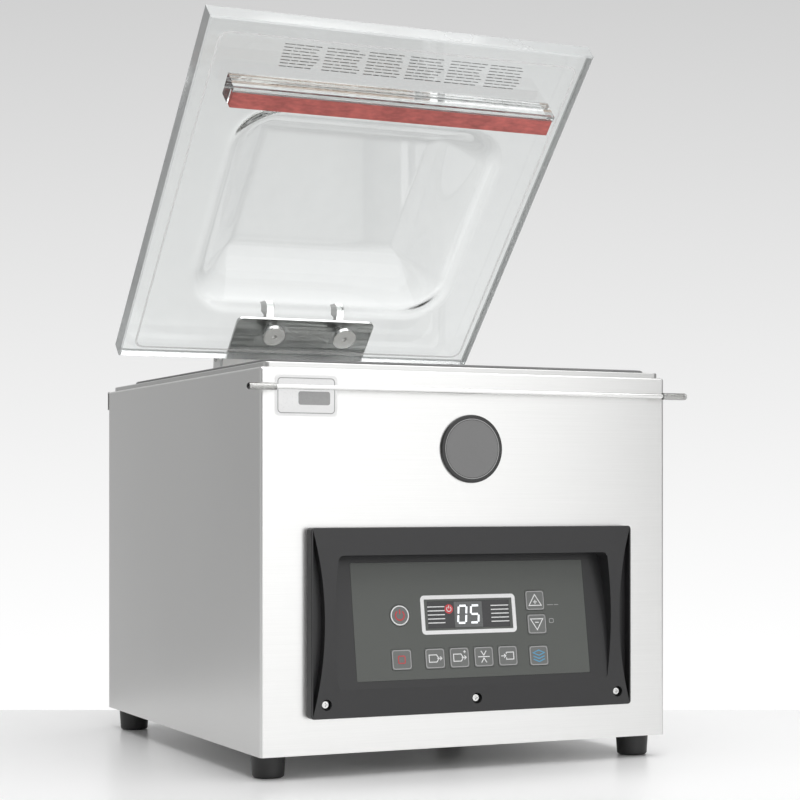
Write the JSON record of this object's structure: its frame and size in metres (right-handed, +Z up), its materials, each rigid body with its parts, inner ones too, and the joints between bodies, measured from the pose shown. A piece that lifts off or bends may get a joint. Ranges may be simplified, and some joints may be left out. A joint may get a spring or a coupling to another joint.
{
  "type": "tabletop vacuum chamber sealer",
  "caption": "Tabletop vacuum packing machine: brushed stainless body, clear domed lid standing open, seal bar in the chamber, inclined control panel on the front, front rod, rubber feet.",
  "frame": {"origin": "table level, under the middle of the body", "axes": "+Z up, the control panel faces -Y, +X to the right when facing the panel"},
  "size_m": [0.416, 0.458, 0.6608],
  "materials": {
    "stainless": "brushed, satin",
    "stainless_inner": "drawn and brushed inside",
    "rod_steel": "polished",
    "fasteners": "bright zinc or stainless",
    "clear_acrylic": "clear, polished, greenish at the edges",
    "clear_vinyl": "clear flexible tube",
    "red_silicone": "matt, mottled with use",
    "gasket_silicone": "matt",
    "black_rubber": "moulded, slightly shiny",
    "black_plastic": "satin moulded, fine spark texture",
    "panel_film": "printed polyester film, fine texture",
    "key_film": "printed polyester film, embossed",
    "display_tint": "tinted window",
    "badge_plastic": "domed resin on grey foil",
    "label_paper": "gloss laminated",
    "white_plastic": "cutting board polyethylene",
    "aluminium": "mill, extruded",
    "insulator": "glass fibre laminate",
    "seal_tape": "coated glass cloth",
    "seal_wire": "flat resistance wire",
    "cast_pump": "painted casting",
    "motor_paint": "painted aluminium",
    "shaft_steel": "ground",
    "fan_plastic": "moulded",
    "board": "circuit board",
    "core_steel": "varnished laminations",
    "bronze": "sintered",
    "spring_steel": "oiled wire"
  },
  "bodies": {
    "base": {"housing_shell": "stainless", "base_plate": "stainless_inner", "rear_panel": "stainless", "chamber_tub": "stainless_inner", "feet": "black_rubber", "foot_screws": "fasteners", "rear_screws": "fasteners", "chamber_gasket": "gasket_silicone", "filler_plate": "white_plastic", "suction_cap": "fasteners", "lift_cylinders": "aluminium", "hinge_base": "stainless", "hinge_pin": "shaft_steel", "lid_stop_bar": "shaft_steel", "hinge_base_screws": "fasteners", "lid_spring": "spring_steel", "control_bezel": "black_plastic", "bezel_screws": "fasteners", "control_panel": "panel_film", "display_window": "display_tint", "control_board": "board", "front_badge": "badge_plastic", "front_label": "label_paper", "front_rod": "rod_steel", "rod_sleeves": "clear_vinyl", "pump_housing": "cast_pump", "pump_mounts": "black_rubber", "motor_housing": "motor_paint", "fan_cowl": "black_plastic", "vacuum_hose": "black_rubber", "exhaust_cap": "black_plastic", "valve_block": "aluminium", "transformer": "core_steel", "power_inlet": "black_plastic"},
    "lid": {"lid_plate": "clear_acrylic", "counter_bar": "clear_acrylic", "counter_bar_silicone": "red_silicone", "lid_seal_washers": "gasket_silicone", "lid_bolts": "fasteners", "lid_nuts": "fasteners", "lid_hinge_plate": "stainless", "hinge_bushes": "bronze"},
    "seal_lift": {"seal_bar": "aluminium", "seal_insulator": "insulator", "seal_wires": "seal_wire", "seal_tape": "seal_tape", "seal_end_clamps": "fasteners", "lift_pistons": "shaft_steel"},
    "motor_rotor": {"motor_shaft": "shaft_steel", "motor_fan": "fan_plastic"},
    "switch_rocker": {"main_switch": "black_plastic"},
    "stop_key": {"stop_key": "key_film"},
    "vacuum_key": {"vacuum_key": "key_film"},
    "vacuum_plus_key": {"vacuum_plus_key": "key_film"},
    "seal_key": {"seal_key": "key_film"},
    "air_key": {"air_key": "key_film"},
    "programme_key": {"programme_key": "key_film"},
    "up_key": {"up_key": "key_film"},
    "down_key": {"down_key": "key_film"},
    "power_key": {"power_key": "key_film"}
  },
  "joints": [
    {"name": "lid_hinge", "type": "hinge", "parent": "base", "child": "lid", "pos_m": [0, 0.2092, 0.3515], "axis": [1, 0, 0], "range_deg": [0, 45.4], "stiffness_Nm_per_rad": 3.8, "springref_deg": -97.4, "deforming": ["lid_spring"]},
    {"name": "seal_lift_slide", "type": "slide", "parent": "base", "child": "seal_lift", "axis": [0, 0, 1], "range_m": [0, 0.008]},
    {"name": "motor_turn", "type": "hinge", "parent": "base", "child": "motor_rotor", "pos_m": [0, 0.01, 0.104], "axis": [1, 0, 0], "continuous": true},
    {"name": "main_switch_rock", "type": "hinge", "parent": "base", "child": "switch_rocker", "pos_m": [-0.13, 0.217, 0.104], "axis": [-1, 0, 0], "range_deg": [0, 18]},
    {"name": "stop_press", "type": "slide", "parent": "base", "child": "stop_key", "axis": [0, 0.9877, -0.1564], "range_m": [0, 0.0004], "stiffness_N_per_m": 500, "springref_m": -0.0006},
    {"name": "vacuum_press", "type": "slide", "parent": "base", "child": "vacuum_key", "axis": [0, 0.9877, -0.1564], "range_m": [0, 0.0004], "stiffness_N_per_m": 500, "springref_m": -0.0006},
    {"name": "vacuum_plus_press", "type": "slide", "parent": "base", "child": "vacuum_plus_key", "axis": [0, 0.9877, -0.1564], "range_m": [0, 0.0004], "stiffness_N_per_m": 500, "springref_m": -0.0006},
    {"name": "seal_press", "type": "slide", "parent": "base", "child": "seal_key", "axis": [0, 0.9877, -0.1564], "range_m": [0, 0.0004], "stiffness_N_per_m": 500, "springref_m": -0.0006},
    {"name": "air_press", "type": "slide", "parent": "base", "child": "air_key", "axis": [0, 0.9877, -0.1564], "range_m": [0, 0.0004], "stiffness_N_per_m": 500, "springref_m": -0.0006},
    {"name": "programme_press", "type": "slide", "parent": "base", "child": "programme_key", "axis": [0, 0.9877, -0.1564], "range_m": [0, 0.0004], "stiffness_N_per_m": 500, "springref_m": -0.0006},
    {"name": "up_press", "type": "slide", "parent": "base", "child": "up_key", "axis": [0, 0.9877, -0.1564], "range_m": [0, 0.0004], "stiffness_N_per_m": 500, "springref_m": -0.0006},
    {"name": "down_press", "type": "slide", "parent": "base", "child": "down_key", "axis": [0, 0.9877, -0.1564], "range_m": [0, 0.0004], "stiffness_N_per_m": 500, "springref_m": -0.0006},
    {"name": "power_press", "type": "slide", "parent": "base", "child": "power_key", "axis": [0, 0.9877, -0.1564], "range_m": [0, 0.0004], "stiffness_N_per_m": 500, "springref_m": -0.0006}
  ]
}
